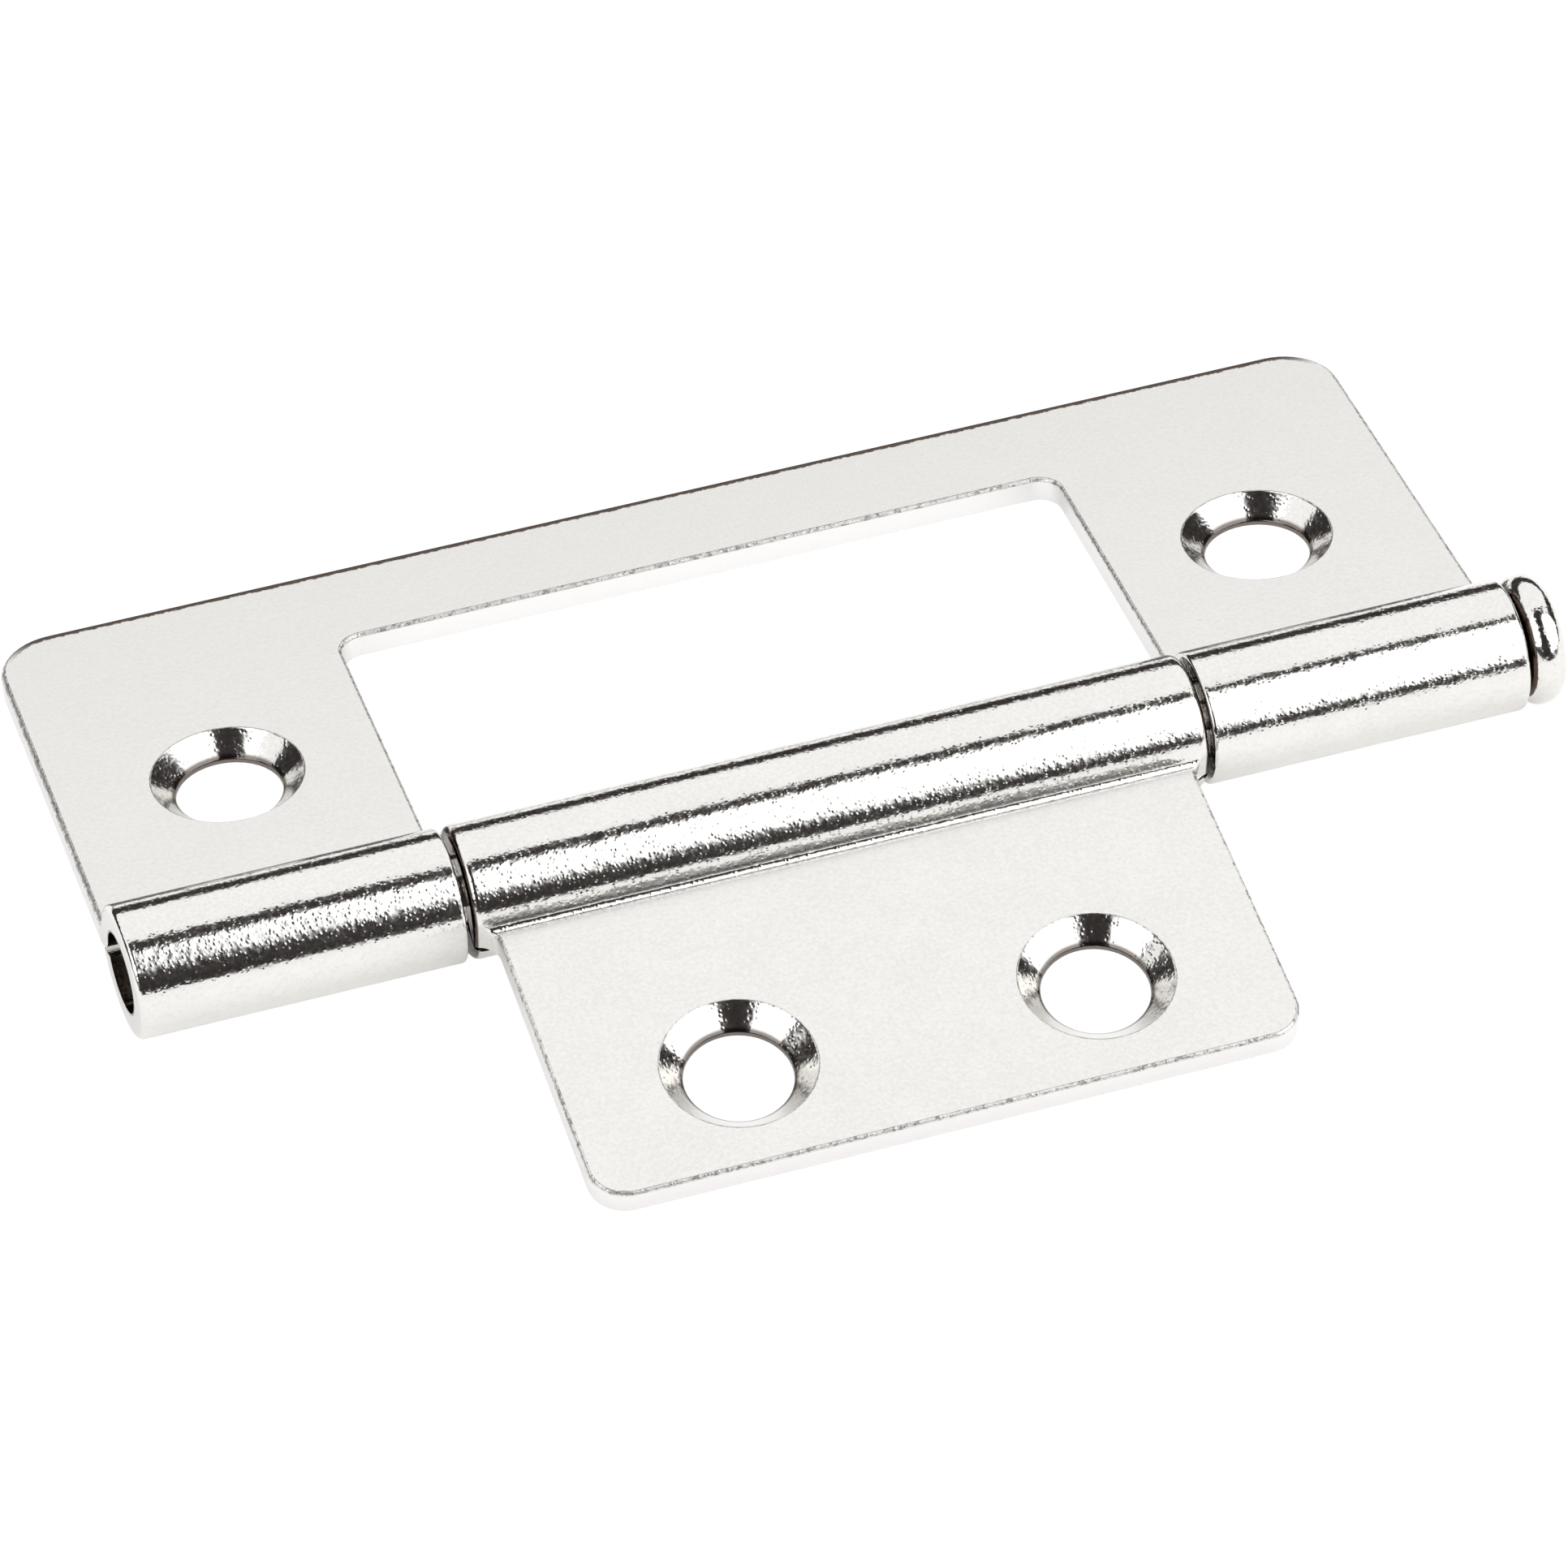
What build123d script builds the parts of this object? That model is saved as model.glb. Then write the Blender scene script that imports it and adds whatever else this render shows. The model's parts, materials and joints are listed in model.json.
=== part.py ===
# Non-mortise (flush) hinge: two pressed steel leaves that nest inside each other, and a loose pin.
# The outer leaf is a frame with an end knuckle at each side of its window. The inner leaf has one
# long middle knuckle and folds into that window. Both leaves lie in the plane of the pin's axis.
#
# The hinge lies face up and open on a surface, on its barrel and on the free edges of both leaves.
# +X runs along the pin towards its head, +Y towards the outer leaf, +Z up, all in millimetres.
# The origin is at the bottom centre of the resting hinge.
from build123d import *
from math import asin, atan, atan2, cos, degrees, hypot, radians, sin, sqrt
import os

# The hinge as it is sold
HINGE_LENGTH = 76.2         # along the pin, over both end knuckles
OPEN_WIDTH = 50.8           # across both leaves, opened flat
SHEET = 1.4                 # thickness of the steel

# Outer leaf. Reaches are measured from the pin's axis.
OUTER_REACH = 29.1          # free edge
OUTER_CORNER = 3.2
WINDOW_WIDTH = 40.7
WINDOW_REACH = 22.75        # far side of the window
WINDOW_CORNER = 1.3
OUTER_HOLE_SPACING = 57.6
OUTER_HOLE_REACH = 13.35

# Inner leaf
INNER_REACH = OPEN_WIDTH - OUTER_REACH
INNER_WIDTH = 37.9
INNER_CORNER = 2.0
INNER_HOLE_SPACING = 19.2
INNER_HOLE_REACH = 15.35
MIDDLE_KNUCKLE = 40.1
NECK_REACH = 3.3            # where the leaf starts to narrow from its knuckle's width
END_PLAY = 0.05             # how far the inner leaf lies from the middle, towards the pin's head

# Countersunk hole for a No. 8 wood screw
HOLE_DIAMETER = 5.7
COUNTERSINK_DIAMETER = 8.2
COUNTERSINK_DEPTH = 1.15
RIM_ROUNDING = 0.12         # edges at the top and the bottom of the countersink

# Pin
PIN_DIAMETER = 4.25
PIN_CLEARANCE = 0.05        # between the pin and a bore, all round
PIN_RECESS = 1.0            # from the open end of the barrel in to the plain end of the pin
PIN_CHAMFER = 0.3
HEAD_DIAMETER = 7.1
HEAD_GAP = 0.15             # from the end of the barrel to the underside of the head
HEAD_HEIGHT = 2.5
RIM_RADIUS = 1.05           # the head's rim is one round bulge, up from its underside

# Rolled barrel and its edges
BEND_RADIUS = 0.5           # inside the bend between a leaf's face and its barrel
END_SHEAR = 3.0             # the plain end of the barrel is this far off square
SEAM_ANGLE = 13.0           # the curl ends this far below the leaf's own plane
EDGE_ROUNDING = 0.22        # tumbled edges on the face side
KNUCKLE_ROUNDING = 0.45     # ends of the middle knuckle
PLAIN_END_ROUNDING = 0.3    # end of the barrel away from the pin's head

HALF_SHEET = SHEET / 2
BORE_RADIUS = PIN_DIAMETER / 2 + PIN_CLEARANCE
BARREL_RADIUS = BORE_RADIUS + SHEET
BEND_HEIGHT = HALF_SHEET + BEND_RADIUS
BEND_REACH = sqrt((BARREL_RADIUS + BEND_RADIUS) ** 2 - BEND_HEIGHT**2)
BEND_ANGLE = degrees(atan2(BEND_HEIGHT, BEND_REACH))
NEARLY = 0.01               # tolerance for picking edges by place


def resting_droop(reach):
    """Angle by which a leaf slopes down when its free edge and its barrel touch one flat surface."""
    return degrees(asin(BARREL_RADIUS / hypot(reach, HALF_SHEET)) - atan(HALF_SHEET / reach))


def on_circle(radius, angle):
    """Point on a circle about the pin's axis, its angle counted up from the leaf."""
    return radius * cos(radians(angle)), radius * sin(radians(angle))


def extruded(outline, width):
    """Solid of a cross-section drawn as (reach, height), centred on X."""
    return extrude(Plane.YZ * make_face(outline), amount=width / 2, both=True)


def leaf_body(reach, width):
    """Flat leaf, the bend that lifts it over the pin, and the first quarter of its barrel."""
    bend = (BEND_REACH, BEND_HEIGHT)
    outline = [
        Line((reach, HALF_SHEET), (BEND_REACH, HALF_SHEET)),
        CenterArc(bend, BEND_RADIUS, -90, BEND_ANGLE - 90),
        CenterArc((0, 0), BARREL_RADIUS, BEND_ANGLE, 90 - BEND_ANGLE),
        Line((0, BARREL_RADIUS), (0, BORE_RADIUS)),
        CenterArc((0, 0), BORE_RADIUS, 90, BEND_ANGLE - 90),
        CenterArc(bend, BEND_RADIUS + SHEET, BEND_ANGLE - 180, 90 - BEND_ANGLE),
        Line((BEND_REACH, -HALF_SHEET), (reach, -HALF_SHEET)),
        Line((reach, -HALF_SHEET), (reach, HALF_SHEET)),
    ]
    return extruded(outline, width)


def curl(width):
    """Rest of the barrel, from its top round under the pin to the seam below the leaf."""
    sweep = 270 - SEAM_ANGLE
    outline = [
        CenterArc((0, 0), BARREL_RADIUS, 90, sweep),
        Line(on_circle(BARREL_RADIUS, -SEAM_ANGLE), on_circle(BORE_RADIUS, -SEAM_ANGLE)),
        CenterArc((0, 0), BORE_RADIUS, 90, sweep),
        Line((0, BORE_RADIUS), (0, BARREL_RADIUS)),
    ]
    return extruded(outline, width)


def upright_edges_at(solid, reach):
    """Edges through the sheet's thickness at one distance from the pin's axis."""
    upright = solid.edges().filter_by(Axis.Z)
    return upright.filter_by_position(Axis.Y, reach - NEARLY, reach + NEARLY)


def barrel_ends(leaf):
    """Outer edges at both ends of a leaf's barrel."""
    arcs = leaf.edges().filter_by(GeomType.CIRCLE)
    return [edge for edge in arcs if abs(edge.radius - BARREL_RADIUS) < NEARLY]


def plain_end_edge(leaf):
    """Outer edge all round the sheared end of the barrel."""
    outlines = leaf.edges().filter_by(GeomType.ELLIPSE)
    return outlines.sort_by(Edge.length)[-1]


def tumbled(leaf):
    """Leaf with the edges of its face rounded."""
    face_edges = leaf.edges().filter_by_position(Axis.Z, HALF_SHEET - NEARLY, HALF_SHEET + NEARLY)
    return fillet(face_edges, EDGE_ROUNDING)


def countersink_edges(leaf):
    """Circles where a countersink meets the leaf's face and where it meets its hole."""
    lowest = HALF_SHEET - COUNTERSINK_DEPTH - NEARLY
    circles = leaf.edges().filter_by(GeomType.CIRCLE)
    level = circles.filter_by_position(Axis.Z, lowest, HALF_SHEET + NEARLY)
    return [edge for edge in level if edge.is_closed]


def countersunk(leaf, spacing, reach):
    """Leaf with its two screw holes, countersunk from its face."""
    sink_middle = HALF_SHEET - COUNTERSINK_DEPTH / 2
    sink = Cone(HOLE_DIAMETER / 2, COUNTERSINK_DIAMETER / 2, COUNTERSINK_DEPTH)
    cutter = Cylinder(HOLE_DIAMETER / 2, 2 * SHEET) + Pos(0, 0, sink_middle) * sink
    for x in (-spacing / 2, spacing / 2):
        leaf -= Pos(x, reach, 0) * cutter
    return fillet(countersink_edges(leaf), RIM_ROUNDING)


def sheared_end(leaf):
    """Leaf with the plain end of its barrel cut a little off square, from the bend onwards."""
    corner = Pos(-HINGE_LENGTH / 2, BEND_REACH, 0) * Rot(0, 0, END_SHEAR)
    waste = Pos(-SHEET, -OUTER_REACH / 2, 0) * Box(2 * SHEET, OUTER_REACH, 4 * BARREL_RADIUS)
    return leaf - corner * waste


def outer_leaf():
    """Frame leaf: one rounded cut makes its window, its two tabs and its two end knuckles."""
    leaf = sheared_end(leaf_body(OUTER_REACH, HINGE_LENGTH) + curl(HINGE_LENGTH))
    leaf = fillet(upright_edges_at(leaf, OUTER_REACH), OUTER_CORNER)
    leaf = fillet(plain_end_edge(leaf), PLAIN_END_ROUNDING)
    depth = WINDOW_REACH + 2 * BARREL_RADIUS
    window = Pos(0, WINDOW_REACH - depth / 2, 0) * Box(WINDOW_WIDTH, depth, 4 * BARREL_RADIUS)
    leaf -= fillet(upright_edges_at(window, WINDOW_REACH), WINDOW_CORNER)
    return countersunk(tumbled(leaf), OUTER_HOLE_SPACING, OUTER_HOLE_REACH)


def inner_leaf():
    """Smaller leaf, narrower than its knuckle, with a rounded neck between the two widths."""
    leaf = leaf_body(INNER_REACH, MIDDLE_KNUCKLE)
    step = (MIDDLE_KNUCKLE - INNER_WIDTH) / 2
    for side in (-1, 1):
        centre = (side * (INNER_WIDTH / 2 + step), NECK_REACH + INNER_REACH / 2, 0)
        waste = Pos(centre) * Box(2 * step, INNER_REACH, 4 * BARREL_RADIUS)
        near_corners = upright_edges_at(waste, NECK_REACH).sort_by(Axis.X)
        leaf -= fillet(near_corners[0 if side > 0 else -1], step)
    leaf = fillet(upright_edges_at(leaf, INNER_REACH), INNER_CORNER)
    leaf += curl(MIDDLE_KNUCKLE)
    leaf = fillet(barrel_ends(leaf), KNUCKLE_ROUNDING)
    return countersunk(tumbled(leaf), INNER_HOLE_SPACING, INNER_HOLE_REACH)


def hinge_pin():
    """Straight pin with a domed button head, plain and chamfered at its other end."""
    tip = PIN_RECESS - HINGE_LENGTH / 2
    seat = HINGE_LENGTH / 2 + HEAD_GAP
    shank = PIN_DIAMETER / 2
    rim = (seat + RIM_RADIUS, HEAD_DIAMETER / 2 - RIM_RADIUS)
    crown = seat + HEAD_HEIGHT
    rise = crown - rim[0]
    dome_radius = (rise**2 + rim[1] ** 2 - RIM_RADIUS**2) / (2 * (rise - RIM_RADIUS))
    dome_centre = crown - dome_radius
    dome_angle = degrees(atan2(rim[1], rim[0] - dome_centre))
    profile = [
        Line((tip, 0), (tip, shank - PIN_CHAMFER)),
        Line((tip, shank - PIN_CHAMFER), (tip + PIN_CHAMFER, shank)),
        Line((tip + PIN_CHAMFER, shank), (seat, shank)),
        Line((seat, shank), (seat, rim[1])),
        CenterArc(rim, RIM_RADIUS, 180, dome_angle - 180),
        CenterArc((dome_centre, 0), dome_radius, dome_angle, -dome_angle),
        Line((crown, 0), (tip, 0)),
    ]
    return revolve(make_face(profile), Axis.X)


def resting_hinge():
    """All pieces about the pin's axis, each leaf turned down until its free edge rests."""
    outer_slope = Rot(-resting_droop(OUTER_REACH), 0, 0)
    inner_slope = Rot(resting_droop(INNER_REACH), 0, 0)
    face_to_the_front = Rot(0, 0, 180)
    return {
        "outer_leaf": outer_slope * outer_leaf(),
        "inner_leaf": Pos(END_PLAY, 0, 0) * inner_slope * face_to_the_front * inner_leaf(),
        "hinge_pin": hinge_pin(),
    }


def bottom_centre(solids):
    """Where the middle of the solids' shared box stands on the surface."""
    boxes = [solid.bounding_box() for solid in solids]
    low = [min(getattr(box.min, axis) for box in boxes) for axis in "XYZ"]
    high = [max(getattr(box.max, axis) for box in boxes) for axis in "XYZ"]
    return (low[0] + high[0]) / 2, (low[1] + high[1]) / 2, low[2]


parts = resting_hinge()
place = Pos(bottom_centre(parts.values())).inverse()
print("the pin's axis passes through", place.position)
os.makedirs("parts", exist_ok=True)
for name, solid in parts.items():
    export_step(place * solid, f"parts/{name}.step")
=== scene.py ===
import json
from collections import namedtuple
from math import cos, radians, sin

import bpy
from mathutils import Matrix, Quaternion, Vector


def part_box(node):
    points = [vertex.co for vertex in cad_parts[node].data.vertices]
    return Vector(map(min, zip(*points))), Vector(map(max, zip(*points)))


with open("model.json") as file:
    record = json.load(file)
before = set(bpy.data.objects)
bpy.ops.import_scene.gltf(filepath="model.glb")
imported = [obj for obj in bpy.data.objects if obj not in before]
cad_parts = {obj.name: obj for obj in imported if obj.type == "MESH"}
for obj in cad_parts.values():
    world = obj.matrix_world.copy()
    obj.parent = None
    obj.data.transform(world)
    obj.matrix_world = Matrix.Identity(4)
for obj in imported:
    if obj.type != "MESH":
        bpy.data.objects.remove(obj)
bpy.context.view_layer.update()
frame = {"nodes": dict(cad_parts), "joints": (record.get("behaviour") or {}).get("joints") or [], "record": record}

MM = 0.001

# Camera: where it looks, counted from the middle of the pin's axis, how far off it stands,
# and its turn round its own line of sight. Angles are in degrees.
LOOK_AT = Vector((-1.527, 2.305, 0.0)) * MM
CAMERA_DISTANCE = 420.95 * MM
CAMERA_AZIMUTH = -16.125
CAMERA_ELEVATION = 42.994
CAMERA_ROLL = -2.155
LENS = 184.69
SENSOR = 36.0
NEAREST_SEEN = 0.01
FARTHEST_SEEN = 20

# Studio: glowing panels on a dome, each with its radiance and its corners. A corner is an angle
# from +Y over the top to -Y, and an angle from there to +X, both in degrees.
DOME_RADIUS = 1.0
FLOOR_HALF = 6.0
SOFTBOXES = {
    "softbox_back": (
        1.06,
        [(23, 50), (23, -8), (50, -48), (60, -60), (88, -58), (89, -8), (89, 52)],
    ),
    "softbox_left": (
        1.5,
        [(89, -60), (89, -32), (120, -26), (146, -27), (160, -34), (160, -70)],
    ),
    "softbox_right": (
        1.5,
        [(109, 3), (98, 20), (91, 50), (95, 78), (172, 70), (172, 28), (166, 17), (152, 11), (138, 5)],
    ),
}

# The camera sees the studio white. The metal reflects it as a dark room with a pale floor.
WHITE = (1, 1, 1, 1)
DARK_ROOM = (0.032, 0.027, 0.026, 1)
PAPER_REFLECTED = (0.95, 0.95, 0.95, 1)
PAPER_SEEN = (0.12, 0.12, 0.12, 1)
PAPER_GLOW_REFLECTED = 0.28
PAPER_GLOW_SEEN = 0.96
PAPER_ROUGHNESS = 0.9

# Metal colours and roughness
NICKEL_LIGHT = (0.89, 0.88, 0.855, 1)
NICKEL_DARK = (0.80, 0.785, 0.755, 1)
# Cut faces are painted lighter than the nickel, a painted sheen for their bright reflection.
CUT_FACE_PAINTED_SHEEN = (0.93, 0.915, 0.905, 1)
# Dark brown for specks and worn nicks, also used for painted shade in seams, bore and holes and a painted dark
# reflection along the far edge.
WEAR_AND_PAINTED_SHADE = (0.10, 0.073, 0.06, 1)
SATIN = (0.20, 0.26)
POLISHED = (0.09, 0.16)
CUT_ROUGHNESS = 0.32

# Noise patterns: cells per millimetre, detail, and the strength of the finer detail
CLOUDS = (0.35, 3.0, 0.6)
GRAIN = (4.5, 3.0, 0.6)
NICKS = (3.4, 3.0, 0.75)
PEEL = (2.2, 1.0, 0.5)
TOOTH = (7.0, 2.0, 0.6)
RAGGED = (2.5, 3.0, 0.7)
GRAIN_SHARE = 0.75          # of grain in the metal's tone, the rest being clouds

# Spot patterns: cells per millimetre, and a spot's radius as a share of a cell
SPECKS = (1.3, 0.09)
SMALL_PITS = (3.9, 0.46)
LARGE_PITS = (2.3, 0.27)
PIT_SHARE = 0.45            # height of the pits, next to the peel's

# Relief in millimetres
RIPPLE_HEIGHT = 0.0125
TOOTH_HEIGHT = 0.0024
NICK_HEIGHT = 0.05
RAGGED_DEPTH = 0.06

# How strongly each mark darkens the metal; the last is painted shade down in the bore and the holes
SPECK_STRENGTH = 0.35
WEAR_STRENGTH = 0.6
PAINTED_SHADE_STRENGTH = 0.85

# Spans of a noise's value: nearly all of it, and where specks, nicks and broken wear come in
NOISE_SPAN = (0.3, 0.7)
SPECKED = (0.45, 0.65)
NICKED = (0.50, 0.60)
BROKEN = (0.45, 0.55)

# Zones of a leaf: where each one begins and where it is full. The first two are distances from the
# pin's axis, the next two from a hole's axis, and the last two in from the outer leaf's outline.
BARREL_ZONE = (3.95, 3.70)
# The bore and hole-rim zones mark where shade down in the bore and the holes is painted dark.
BORE_ZONE = (2.34, 2.24)
COUNTERSINK_ZONE = (4.12, 4.04)
HOLE_RIM_ZONE = (3.12, 2.95)
# The far zone holds a painted dark reflection along the far edge.
FAR_PAINTED_REFLECTION_ZONE = (0.54, 0.44)
SIDE_WEAR_ZONE = (0.16, 0.10)

# The same for how squarely a surface faces away from the leaf: 1 on its face and 0 on its cut sides
UPWARD = (0.05, 0.15)
OFF_FACE = (0.998, 0.97)
OFF_CUT = (0.10, 0.25)
ON_CUT = (0.25, 0.10)

# Seams at the ends of the middle knuckle and under the pin's head, where the shade in the gaps is painted,
# and their soft edges as shares of their width
KNUCKLE_SEAM = 0.2
HEAD_SEAM = 0.05
SEAM_EDGES = (1.3, 0.7)

OUTER_CORNER = 3.2          # the outer leaf's corner radius
FAR_CORNER = (0.4, 0.9)     # share of that corner where the sides' wear turns into the far edge's painted dark reflection


def named(rows, name):
    return next(row for row in rows if row["name"] == name)


AXIS_POINT = Vector(named(frame["joints"], "leaf_swing")["pos_m"]) / MM


def direction(azimuth, elevation):
    """Unit vector from the object towards a camera at these angles."""
    a, e = radians(azimuth), radians(elevation)
    return Vector((sin(a) * cos(e), -cos(a) * cos(e), sin(e)))


def make_camera():
    data = bpy.data.cameras.new("camera")
    data.lens = LENS
    data.sensor_width = SENSOR
    data.clip_start = NEAREST_SEEN
    data.clip_end = FARTHEST_SEEN
    camera = bpy.data.objects.new("camera", data)
    bpy.context.scene.collection.objects.link(camera)
    back = direction(CAMERA_AZIMUTH, CAMERA_ELEVATION)
    camera.location = AXIS_POINT * MM + LOOK_AT + back * CAMERA_DISTANCE
    camera.rotation_mode = "QUATERNION"
    roll = Quaternion((0, 0, 1), radians(CAMERA_ROLL))
    camera.rotation_quaternion = back.to_track_quat("Z", "Y") @ roll
    bpy.context.scene.camera = camera


class Graph:
    """A node tree being put together. Inputs take a number, a colour, or another node's output."""

    def __init__(self, tree):
        self.tree = tree
        tree.nodes.clear()

    def node(self, kind, inputs=(), **settings):
        made = self.tree.nodes.new(kind)
        for name, value in settings.items():
            setattr(made, name, value)
        for key, value in dict(inputs).items():
            if isinstance(value, bpy.types.NodeSocket):
                self.tree.links.new(value, made.inputs[key])
            else:
                made.inputs[key].default_value = value
        return made

    def math(self, operation, *values):
        return self.node("ShaderNodeMath", enumerate(values), operation=operation).outputs[0]

    def product(self, *values):
        made = values[0]
        for value in values[1:]:
            made = self.math("MULTIPLY", made, value)
        return made

    def largest(self, *values):
        made = values[0]
        for value in values[1:]:
            made = self.math("MAXIMUM", made, value)
        return made

    def length(self, a, b):
        """Length of a line with these two sides at a right angle."""
        square = self.math("ADD", self.math("POWER", a, 2.0), self.math("POWER", b, 2.0))
        return self.math("SQRT", square)

    def vector(self, operation, *values):
        return self.node("ShaderNodeVectorMath", enumerate(values), operation=operation)

    def split(self, place):
        return self.node("ShaderNodeSeparateXYZ", {"Vector": place}).outputs

    def ramp(self, value, start, end, low=0.0, high=1.0):
        """low up to start, high from end on, and smooth in between."""
        inputs = {"Value": value, 1: start, 2: end, 3: low, 4: high}
        made = self.node("ShaderNodeMapRange", inputs, interpolation_type="SMOOTHSTEP")
        return made.outputs[0]

    def noise(self, place, scale, detail, roughness):
        inputs = {"Vector": place, "Scale": scale, "Detail": detail, "Roughness": roughness}
        return self.node("ShaderNodeTexNoise", inputs).outputs["Fac"]

    def spots(self, place, scale, radius):
        """1 in the middle of scattered round spots, falling to 0 at this share of a cell."""
        inputs = {"Vector": place, "Scale": scale}
        made = self.node("ShaderNodeTexVoronoi", inputs, feature="F1")
        return self.ramp(made.outputs["Distance"], radius, 0.0)

    def mix(self, factor, a, b):
        return self.node("ShaderNodeMix", {0: factor, 2: a, 3: b}, data_type="FLOAT").outputs[0]

    def mix_colour(self, factor, a, b):
        inputs = {"Fac": factor, "Color1": a, "Color2": b}
        return self.node("ShaderNodeMixRGB", inputs).outputs[0]

    def place(self):
        """Where a point of the surface is, in millimetres."""
        inputs = {0: self.node("ShaderNodeTexCoord").outputs["Object"], "Scale": 1 / MM}
        return self.node("ShaderNodeVectorMath", inputs, operation="SCALE").outputs[0]

    def facing(self, way):
        """How squarely the surface faces this way, from -1 to 1."""
        normal = self.node("ShaderNodeTexCoord").outputs["Normal"]
        return self.vector("DOT_PRODUCT", normal, tuple(way)).outputs["Value"]


def new_material(name):
    material = bpy.data.materials.new(name)
    material.use_nodes = True
    return material, Graph(material.node_tree)


# How far a place is polished, a rounded edge, a cut face, and darkened, each 0 to 1. The darkening is painted
# shade in the seams, bore and holes, a painted dark reflection along the far edge, and wear along the sides
Zones = namedtuple("Zones", "polished rounded cut dark")


def from_axis(graph, place):
    """Distance from the pin's axis."""
    moved = graph.vector("SUBTRACT", place, AXIS_POINT).outputs[0]
    flat = graph.vector("MULTIPLY", moved, (0.0, 1.0, 1.0)).outputs[0]
    return graph.vector("LENGTH", flat).outputs["Value"]


def from_hole(graph, place, mount):
    """Distance from the axis of the nearer of a leaf's two holes."""
    centre = Vector(mount["pos_m"]) / MM
    across = Vector(mount["axis"]).cross(Vector((1, 0, 0)))
    half = mount["dims"]["pcd_mm"] / 2
    moved = graph.vector("SUBTRACT", place, centre).outputs[0]
    along = graph.vector("DOT_PRODUCT", moved, (1.0, 0.0, 0.0)).outputs["Value"]
    along = graph.math("SUBTRACT", graph.math("ABSOLUTE", along), half)
    side = graph.vector("DOT_PRODUCT", moved, tuple(across)).outputs["Value"]
    return graph.length(along, side)


def seam_shade(graph, place):
    """1 on the rims where two knuckles, or a knuckle and the pin's head, meet: painted shade of the gaps between
    them.
    """
    along = graph.split(place)["X"]
    low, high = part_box("inner_leaf")
    head_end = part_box("outer_leaf")[1]
    found = 0.0
    for end, width in ((low, KNUCKLE_SEAM), (high, KNUCKLE_SEAM), (head_end, HEAD_SEAM)):
        away = graph.math("ABSOLUTE", graph.math("SUBTRACT", along, end.x / MM))
        edges = [share * width for share in SEAM_EDGES]
        found = graph.largest(found, graph.ramp(away, *edges))
    return found


def wear_and_painted_edge_reflection(graph, place):
    """Darkening on the outer leaf's face along its outline: thin wear along the sides, and a wider painted dark
    reflection along the far edge.
    """
    low, high = (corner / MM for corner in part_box("outer_leaf"))
    split = graph.split(place)
    middle = (low.x + high.x) / 2
    aside = graph.math("ABSOLUTE", graph.math("SUBTRACT", split["X"], middle))
    aside = graph.math("SUBTRACT", aside, high.x - middle - OUTER_CORNER)
    beyond = graph.math("SUBTRACT", split["Y"], high.y - OUTER_CORNER)
    aside = graph.largest(aside, 0.0)
    beyond = graph.largest(beyond, 0.0)
    inside = graph.math("SUBTRACT", OUTER_CORNER, graph.length(aside, beyond))
    ragged = graph.noise(place, *RAGGED)
    uneven = graph.ramp(ragged, *NOISE_SPAN, -RAGGED_DEPTH, RAGGED_DEPTH)
    inside = graph.math("ADD", inside, uneven)
    broken = graph.ramp(ragged, *BROKEN)
    side = graph.product(graph.ramp(inside, *SIDE_WEAR_ZONE), broken, WEAR_STRENGTH)
    far = graph.ramp(beyond, *(share * OUTER_CORNER for share in FAR_CORNER))
    # Along the far edge the band is a painted dark reflection, standing in for a rounder rolled-over edge.
    return graph.mix(far, side, graph.ramp(inside, *FAR_PAINTED_REFLECTION_ZONE))


def leaf_zones(mount_name):
    mount = named(frame["record"]["mounts"], mount_name)

    def zones_of(graph, place):
        pin_distance = from_axis(graph, place)
        hole_distance = from_hole(graph, place, mount)
        rolled = graph.ramp(pin_distance, *BARREL_ZONE)
        sunk = graph.ramp(hole_distance, *COUNTERSINK_ZONE)
        facing = graph.facing(mount["axis"])
        square = graph.math("ABSOLUTE", facing)
        flat = graph.product(graph.math("SUBTRACT", 1.0, rolled), graph.math("SUBTRACT", 1.0, sunk))
        # Darkening: painted shade in seams, bore and holes, a painted dark reflection along the far edge, and wear
        # along the sides.
        dark = graph.largest(
            # Painted shade in the gaps at the knuckle ends and under the pin's head.
            graph.product(rolled, seam_shade(graph, place)),
            # Painted shade down in the bore, and in the holes below their countersinks.
            graph.product(graph.ramp(pin_distance, *BORE_ZONE), PAINTED_SHADE_STRENGTH),
            graph.product(graph.ramp(hole_distance, *HOLE_RIM_ZONE), PAINTED_SHADE_STRENGTH),
            # Thin wear along the outer leaf's sides, and a painted dark reflection along its far edge.
            graph.product(wear_and_painted_edge_reflection(graph, place), graph.ramp(facing, *UPWARD)),
        )
        return Zones(
            polished=graph.largest(rolled, sunk),
            rounded=graph.product(flat, graph.ramp(square, *OFF_FACE), graph.ramp(square, *OFF_CUT)),
            cut=graph.product(flat, graph.ramp(square, *ON_CUT)),
            dark=dark,
        )

    return zones_of


def pin_zones(graph, place):
    return Zones(polished=1.0, rounded=0.0, cut=0.0, dark=0.0)


def nickel_colour(graph, place, zones, tone, clouds, nicks):
    colour = graph.mix_colour(graph.ramp(tone, *NOISE_SPAN), NICKEL_DARK, NICKEL_LIGHT)
    specks = graph.product(
        graph.spots(place, *SPECKS), graph.ramp(clouds, *SPECKED), SPECK_STRENGTH
    )
    colour = graph.mix_colour(specks, colour, WEAR_AND_PAINTED_SHADE)
    # Cut faces take the lighter colour, a painted sheen.
    colour = graph.mix_colour(zones.cut, colour, CUT_FACE_PAINTED_SHEEN)
    nicked = graph.product(zones.rounded, graph.ramp(nicks, *NICKED), WEAR_STRENGTH)
    # Worn nicks on rounded edges, plus the painted shade and painted reflection of zones.dark.
    return graph.mix_colour(graph.largest(nicked, zones.dark), colour, WEAR_AND_PAINTED_SHADE)


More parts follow.
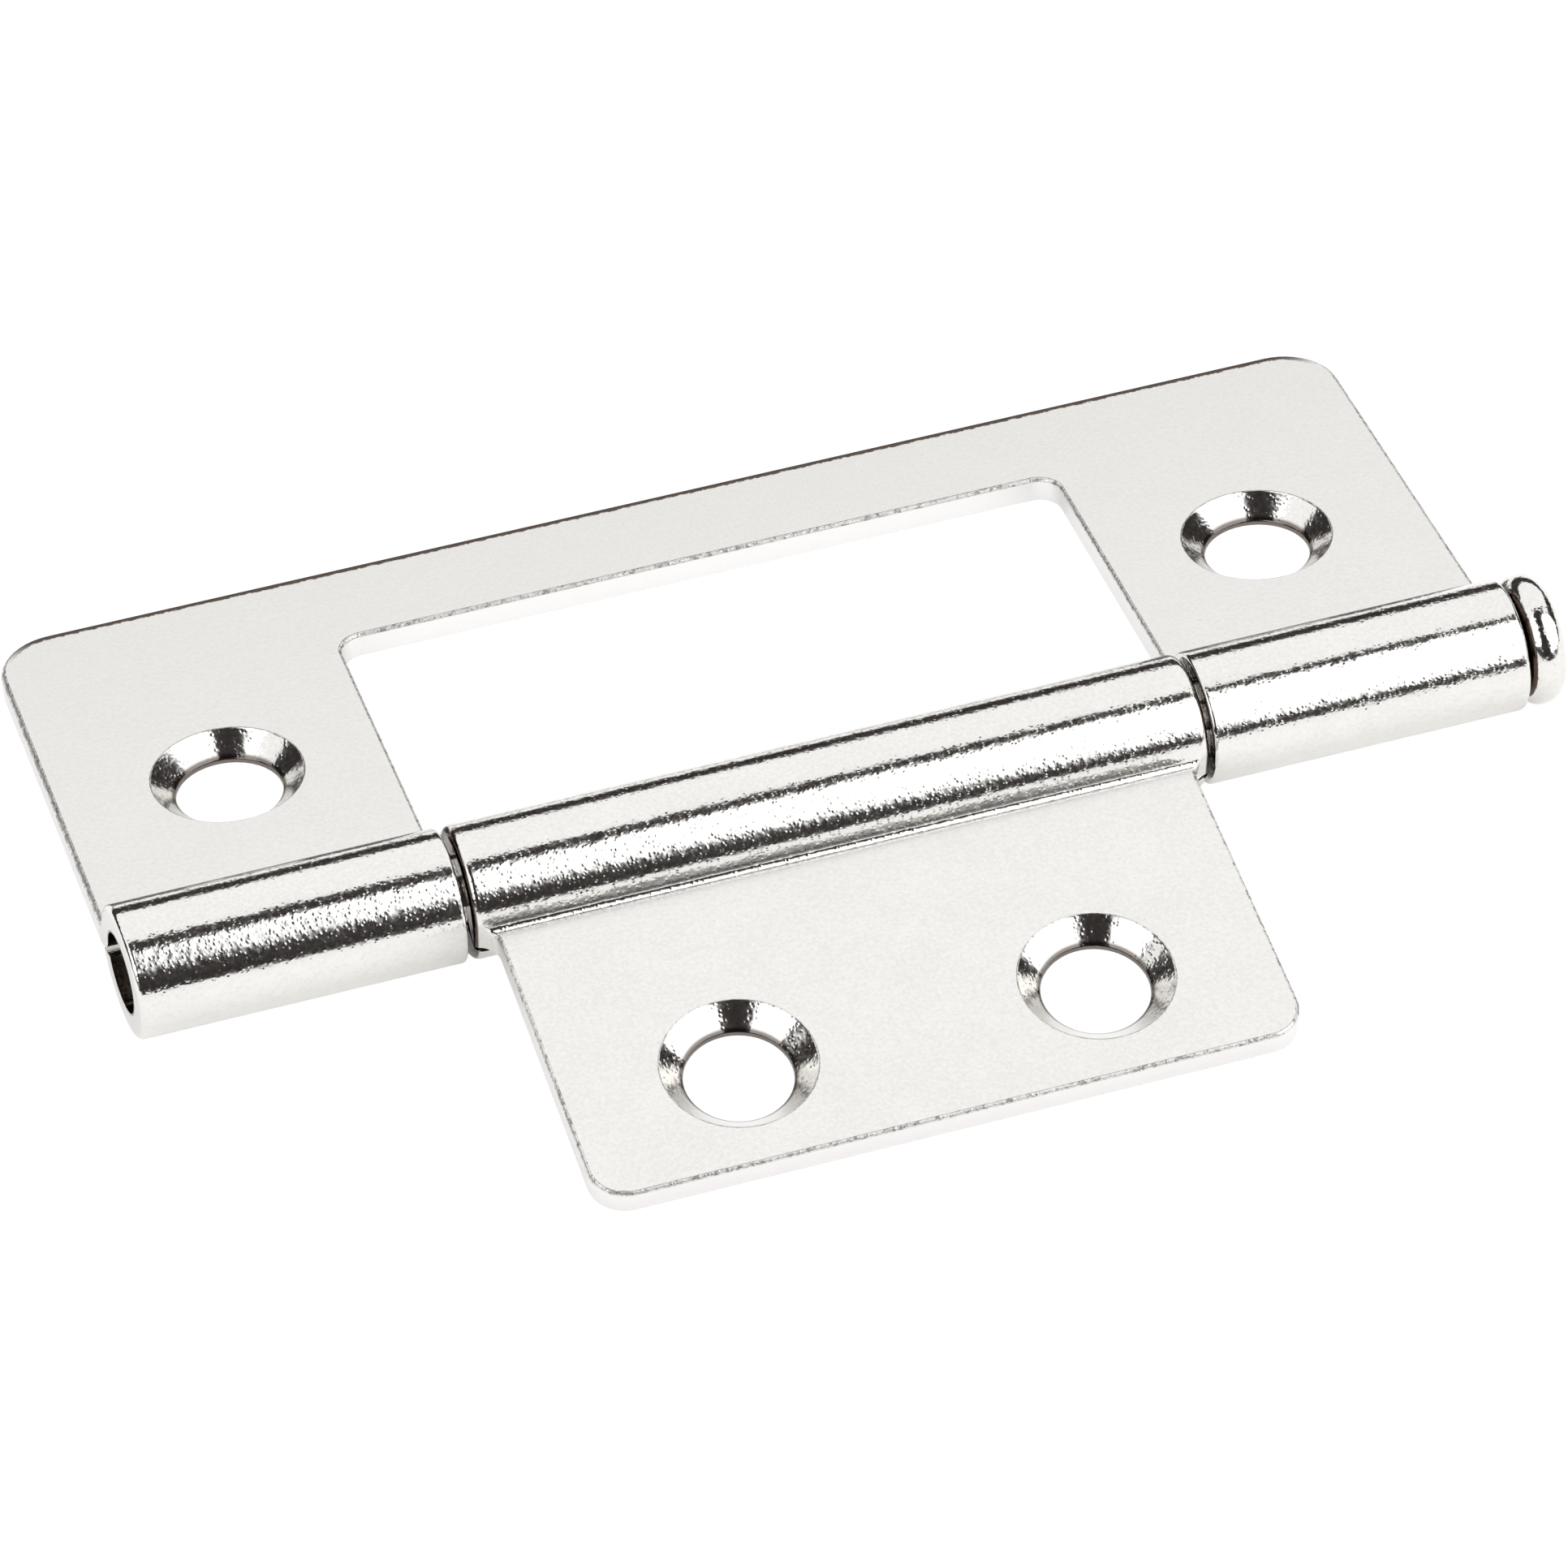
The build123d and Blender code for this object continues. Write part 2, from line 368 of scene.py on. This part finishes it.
def nickel_roughness(graph, zones, tone, grain):
    satin = graph.ramp(tone, *NOISE_SPAN, *SATIN)
    polished = graph.ramp(grain, *NOISE_SPAN, *POLISHED)
    rough = graph.mix(zones.polished, satin, polished)
    return graph.mix(graph.largest(zones.cut, zones.rounded), rough, CUT_ROUGHNESS)


def nickel_relief(graph, place, zones, nicks):
    """Height of the surface in millimetres."""
    pits = graph.math("ADD", graph.spots(place, *SMALL_PITS), graph.spots(place, *LARGE_PITS))
    peel = graph.math("ADD", graph.noise(place, *PEEL), graph.product(pits, PIT_SHARE))
    ripple = graph.product(zones.polished, peel, RIPPLE_HEIGHT)
    tooth = graph.product(graph.noise(place, *TOOTH), TOOTH_HEIGHT)
    nicked = graph.product(zones.rounded, nicks, NICK_HEIGHT)
    return graph.math("ADD", graph.math("ADD", tooth, ripple), nicked)


def nickel(name, zones_of):
    """Bright nickel, with the zones that zones_of finds."""
    material, graph = new_material(name)
    place = graph.place()
    zones = zones_of(graph, place)
    clouds = graph.noise(place, *CLOUDS)
    grain = graph.noise(place, *GRAIN)
    nicks = graph.noise(place, *NICKS)
    tone = graph.mix(GRAIN_SHARE, clouds, grain)
    relief = nickel_relief(graph, place, zones, nicks)
    bump = graph.node("ShaderNodeBump", {"Height": relief, "Strength": 1.0, "Distance": MM})
    shader = graph.node(
        "ShaderNodeBsdfPrincipled",
        {
            "Base Color": nickel_colour(graph, place, zones, tone, clouds, nicks),
            "Metallic": 1.0,
            "Roughness": nickel_roughness(graph, zones, tone, grain),
            "Normal": bump.outputs[0],
        },
    )
    graph.node("ShaderNodeOutputMaterial", {"Surface": shader.outputs[0]})
    return material


def dress(node, material):
    data = frame["nodes"][node].data
    data.materials.clear()
    data.materials.append(material)


def stage_face(name, corners, material):
    """One flat face of the studio."""
    data = bpy.data.meshes.new(name)
    data.from_pydata(corners, [], [list(range(len(corners)))])
    data.materials.append(material)
    face = bpy.data.objects.new(name, data)
    bpy.context.scene.collection.objects.link(face)
    return face


def on_dome(angle, side):
    a, s = radians(angle), radians(side)
    return Vector((sin(s), cos(s) * cos(a), cos(s) * sin(a))) * DOME_RADIUS


def make_softbox(name, radiance, corners):
    """Glowing panel that lights the hinge and shows in it, but not to the camera."""
    material, graph = new_material(name)
    glow = graph.node("ShaderNodeEmission", {"Color": WHITE, "Strength": radiance})
    graph.node("ShaderNodeOutputMaterial", {"Surface": glow.outputs[0]})
    panel = stage_face(name, [on_dome(*corner) for corner in corners], material)
    panel.visible_camera = False


def make_floor():
    material, graph = new_material("floor_paper")
    seen = graph.node("ShaderNodeLightPath").outputs["Is Camera Ray"]
    shader = graph.node(
        "ShaderNodeBsdfPrincipled",
        {
            "Base Color": graph.mix_colour(seen, PAPER_REFLECTED, PAPER_SEEN),
            "Roughness": PAPER_ROUGHNESS,
            "Emission Color": WHITE,
            "Emission Strength": graph.mix(seen, PAPER_GLOW_REFLECTED, PAPER_GLOW_SEEN),
        },
    )
    graph.node("ShaderNodeOutputMaterial", {"Surface": shader.outputs[0]})
    half = FLOOR_HALF
    stage_face("floor", [(-half, -half, 0), (half, -half, 0), (half, half, 0), (-half, half, 0)], material)


def make_world():
    world = bpy.data.worlds.new("studio")
    bpy.context.scene.world = world
    world.use_nodes = True
    graph = Graph(world.node_tree)
    seen = graph.node("ShaderNodeLightPath").outputs["Is Camera Ray"]
    dark = graph.node("ShaderNodeBackground", {"Color": DARK_ROOM, "Strength": 1.0})
    pale = graph.node("ShaderNodeBackground", {"Color": WHITE, "Strength": 1.0})
    both = graph.node("ShaderNodeMixShader", {0: seen, 1: dark.outputs[0], 2: pale.outputs[0]})
    graph.node("ShaderNodeOutputWorld", {"Surface": both.outputs[0]})


make_camera()
make_world()
make_floor()
for name, (radiance, corners) in SOFTBOXES.items():
    make_softbox(name, radiance, corners)

dress("outer_leaf", nickel("nickel_outer", leaf_zones("outer_leaf_holes")))
dress("inner_leaf", nickel("nickel_inner", leaf_zones("inner_leaf_holes")))
dress("hinge_pin", nickel("nickel_pin", pin_zones))

bpy.context.scene.view_settings.view_transform = "Standard"
